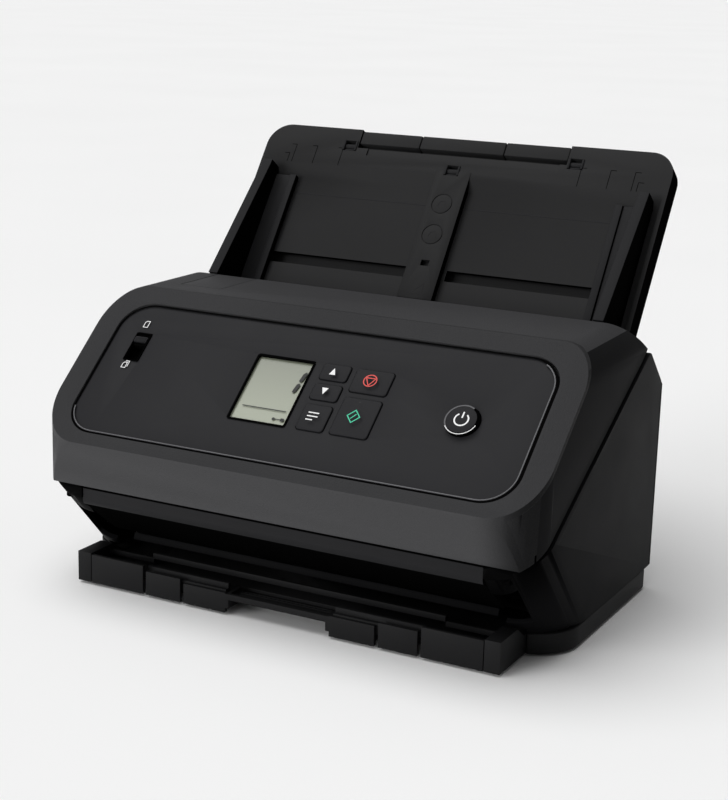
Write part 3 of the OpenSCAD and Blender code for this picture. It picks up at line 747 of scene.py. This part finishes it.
def make_selector_details():
    """The knob's raised ridge with its grip ribs, and a near-black ring round the slot, which is painted shade in
    the slot.
    """
    body = "selector"
    ridge = [([rounded_box(-111.4, 60.4, -103.7, 64.0, 0.6)], -1.7, -0.5)]
    shape("selector_ridge", ridge, PANEL.at, M["key"], body, 0.25 * MM)
    rib = loose_part("rib", [([rounded_box(-3.2, -0.18, 3.2, 0.18, 0.15, 2)], -0.1, 0.25)])
    places = [PANEL.at(-107.55, 61.0 + 0.6 * k, -0.5) for k in range(5)]
    turn = (math.atan2(PANEL.up.z, PANEL.up.y), 0, 0)
    scattered("selector_ribs", places, rib, turn, M["key"], body)
    # Near black round the slot: painted shade in the slot's recess.
    slot_shade_ring = [rounded_box(-112.3, 48.7, -103.0, 66.8, 0.5), rounded_box(-111.9, 49.1, -103.4, 66.4, 0.4)]
    shape("selector_well", [(slot_shade_ring, -2.4, -1.15)], PANEL.at, M["dark"], "front_unit")


POWER_AT = (86.2, 43.0)


def make_power_details():
    """The button's cap, its printed mark, and two arcs on its rim, a grey one and a white one, which are painted
    highlights.
    """
    x, s = POWER_AT
    cap = [([circle(x, s, 7.6)], 0.6, 0.9)]
    shape("power_cap", cap, PANEL.at, M["key"], "key_power", 0.2 * MM)
    # A grey arc at the upper left and a white arc along the bottom of the rim: painted highlights.
    soft_highlight_arc = [(stroke(circle(x, s, 8.15, 40, 60, 170), 0.75), 0.7, 0.86)]
    shape("power_rim_upper", soft_highlight_arc, PANEL.at, M["soft_highlight_grey"], "key_power")
    bright_highlight_arc = [(stroke(circle(x, s, 8.3, 40, 215, 130), 0.35), 0.7, 0.88)]
    shape("power_rim_lower", bright_highlight_arc, PANEL.at, M["white_ink_and_highlight"], "key_power")
    gap = 36
    arc = circle(x, s, 3.5, 40, 90 + gap, 360 - 2 * gap)
    mark = [stroke(arc, 0.75), stroke([(x, s + 0.9), (x, s + 4.4)], 0.75)]
    panel_mark("power_mark", mark, 0.9, "white_ink_and_highlight", "key_power")


def make_display_details():
    top = -2.1
    # The display's frame is near black: partly its own colour, partly painted shade along the display's edges.
    edge = [rounded_box(-36.3, 23.7, -2.7, 64.7, 1.2), rounded_box(-35.3, 24.7, -3.7, 63.7, 0.6)]
    shape("display_frame", [(edge, -2.2, -1.25)], PANEL.at, M["dark"], "front_unit")
    upper = [(-7.4, 52.3), (-6.3, 51.7), (-5.3, 52.7), (-4.5, 57.4), (-5.3, 58.2), (-6.6, 56.9)]
    lower = [(-8.4, 45.4), (-7.3, 44.8), (-6.3, 46.1), (-5.6, 50.2), (-6.5, 51.0), (-7.6, 50.1)]
    panel_mark("display_digit", [[upper], [lower]], top, "black_ink")
    panel_mark("display_rule", [[rounded_box(-31.5, 33.0, -6.2, 33.5, 0.2, 2)]], top, "black_ink")
    cord = rounded_box(-10.6, 27.9, -6.4, 28.3, 0.15, 2)
    plug = rounded_box(-7.2, 27.2, -5.2, 29.0, 0.3, 2)
    panel_mark("display_plug_mark", [[circle(-11.2, 28.1, 0.8, 16)], [cord], [plug]], top, "black_ink")


def make_panel_border():
    """The black joint round the panel, and a bead along the panel's lower and right edge, whose light grey is a
    painted highlight.
    """
    joint = [rounded_box(-125.7, 0.3, 125.7, 85.7, 17.7, 12), rounded_box(-125.0, 1.9, 124.2, 85.0, 16.8, 12)]
    shape("panel_joint", [(joint, -1.3, -1.12)], PANEL.at, M["dark"], "front_unit")
    left, right, low, high, r = -124.6, 123.7, 2.4, 84.6, 16.4
    bead = circle(left + r, low + r, r, 10, 190, 80) + circle(right - r, low + r, r, 10, 270, 90)
    bead += circle(right - r, high - r, r, 8, 0, 60)
    line = [(stroke(bead, 0.7), -1.3, -0.8)]
    shape("panel_bead", line, PANEL.at, M["painted_highlight_grey"], "front_unit", 0.2 * MM)


# ---------- feed tray details ----------


def tray_line(points):
    """A raised line on the tray's face."""
    return (stroke(points, 0.35), -0.02, 0.05)


def make_size_marks():
    """Raised lines at the half widths of four sheets of paper."""
    lines = []
    for side in (-1, 1):
        for half, low, high in ((74, 77.5, 89), (91, 77.5, 89), (105, 77.5, 89), (108, 77.5, 83)):
            lines.append(tray_line([(side * half, low), (side * half, high)]))
            ear = side * 3.2
            lines.append(tray_line([(side * half, high), (side * half + ear, high)]))
    shape("size_marks", lines, TRAY.at, M["dark"], "base")


def make_tray_lines():
    step = []
    for x0, x1 in ((-98, -11.4), (11.4, 98)):
        step.append((stroke([(x0, 59.3), (x1, 59.3)], 0.4), -4.05, -3.85))
    shape("tray_step_lines", step, TRAY.at, M["panel"], "base")
    ramp = [(-3.2, 3.2), (3.2, 3.2), (3.2, 9.4)]
    shape("rib_ramp_mark", [(stroke(ramp, 0.45, True), 0.25, 0.4)], TRAY.at, M["tray"], "base")
    folds = []
    for s in (39.7, 59):
        fold = [(-3.4, s - 1.6), (-2.4, s + 1.4), (0.4, s + 1.8), (1.4, s - 1.2)]
        folds.append((stroke(fold, 0.4), 0.25, 0.4))
    shape("rib_fold_marks", folds, TRAY.at, M["tray"], "base")


def make_catch_details():
    """A small loop and two cheeks in each catch pocket."""
    prisms = []
    for x, s in ((-70, 91), (-1.4, 80.4), (70, 91)):
        for middle in (x - 3.9, x + 3.9):
            cheek = rounded_box(middle - 0.6, s - 3.0, middle + 0.6, s + 3.0, 0.5)
            prisms.append(([cheek], -3.8, 0.6))
        prisms.append(([rounded_box(x - 3.0, s - 3.0, x + 3.0, s - 2.1, 0.3)], -3.8, -0.4))
    shape("catch_cheeks", prisms, TRAY.at, M["guide"], "base", 0.25 * MM)


# ---------- rear and underside ----------


def make_screws():
    """Cross-head screws on the rear cover."""
    head = [([circle(0, 0, 2.9, 32), circle(0, 0, 1.7, 32)], 0, 0.5)]
    floor = [([circle(0, 0, 1.9, 32)], 0, 0.15)]
    bars = (rounded_box(-1.5, -0.22, 1.5, 0.22, 0.1, 2), rounded_box(-0.22, -1.5, 0.22, 1.5, 0.1, 2))
    cross = [([bars[0]], 0.1, 0.3), ([bars[1]], 0.1, 0.28)]
    low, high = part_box("cover_screws")
    xs = (low.x + 3 * MM, high.x - 3 * MM)
    zs = (low.z + 3 * MM, high.z - 3 * MM)
    places = [(x, high.y - 0.1 * MM, z) for x in xs for z in zs]
    screw = loose_part("rear_screw", head + floor + cross)
    scattered("rear_screw_heads", places, screw, (-math.pi / 2, 0, 0), M["blackened"], "base")


# ---------- stage ----------


def make_floor():
    """A wide sheet of paper, a hair below the feet."""
    bm = bmesh.new()
    half, top = 40.0, -0.2 * MM
    corners = ((-half, -half), (half, -half), (half, half), (-half, half))
    bm.faces.new([bm.verts.new((x, y, top)) for x, y in corners])
    mesh = bpy.data.meshes.new("floor")
    bm.to_mesh(mesh)
    bm.free()
    floor = bpy.data.objects.new("floor", mesh)
    bpy.context.scene.collection.objects.link(floor)
    white = (0.91, 0.91, 0.91)
    material, surface = shader("floor_paper", white, 0.9, specular=0.1)
    vary_colour(material, surface, white, 0.01, 2)
    floor.data.materials.append(material)


def soft_sun(name, place, strength, spread):
    """Even light from far off, out of the direction of place, spread over an angle in degrees."""
    light = bpy.data.lights.new(name, "SUN")
    light.energy = strength
    light.angle = math.radians(spread)
    obj = bpy.data.objects.new(name, light)
    obj.rotation_euler = Vector(place).to_track_quat("Z", "Y").to_euler()
    bpy.context.scene.collection.objects.link(obj)


def make_lights():
    """Two soft suns, and a sky that is brighter on the left."""
    soft_sun("key", (-0.52, -0.82, 0.22), 1.7, 35)
    soft_sun("top", (-0.25, -0.1, 1.0), 2.0, 60)
    world = bpy.data.worlds.new("studio")
    bpy.context.scene.world = world
    world.use_nodes = True
    nodes, links = world.node_tree.nodes, world.node_tree.links
    ground = nodes["Background"]
    place = nodes.new("ShaderNodeTexCoord")
    parts = nodes.new("ShaderNodeSeparateXYZ")
    side = nodes.new("ShaderNodeMapRange")
    side.inputs["From Min"].default_value = -0.1
    side.inputs["From Max"].default_value = 0.9
    side.inputs["To Min"].default_value = 0.32
    side.inputs["To Max"].default_value = 0.08
    links.new(place.outputs["Generated"], parts.inputs["Vector"])
    links.new(parts.outputs["X"], side.inputs["Value"])
    links.new(side.outputs["Result"], ground.inputs["Strength"])
    ground.inputs["Color"].default_value = (1, 1, 1, 1)


def make_camera():
    """A long lens, in front of the right corner and a little above it."""
    camera = bpy.data.cameras.new("camera")
    camera.sensor_fit = "HORIZONTAL"
    camera.sensor_width = 36
    camera.lens = 85.9
    camera.clip_end = 200
    obj = bpy.data.objects.new("camera", camera)
    right = Vector((0.8828, 0.4690, 0.0265)).normalized()
    back = Vector((0.4489, -0.8589, 0.2467)).normalized()
    up = back.cross(right).normalized()
    right = up.cross(back)
    turn = Matrix([[c[i] for c in (right, up, back)] for i in range(3)]).to_4x4()
    place = (0.4116, -0.7987, 0.3240)
    obj.matrix_world = Matrix.Translation(place) @ turn
    bpy.context.scene.collection.objects.link(obj)
    bpy.context.scene.camera = obj
    bpy.context.scene.view_settings.view_transform = "Standard"


def main():
    make_camera()
    make_lights()
    make_floor()
    finish_covers()
    finish_tray()
    finish_eject_tray()
    finish_panel()
    finish_hidden_nodes()
    make_key_marks()
    make_selector_marks()
    make_selector_details()
    make_power_details()
    make_display_details()
    make_panel_border()
    make_size_marks()
    make_tray_lines()
    make_catch_details()
    make_screws()


main()
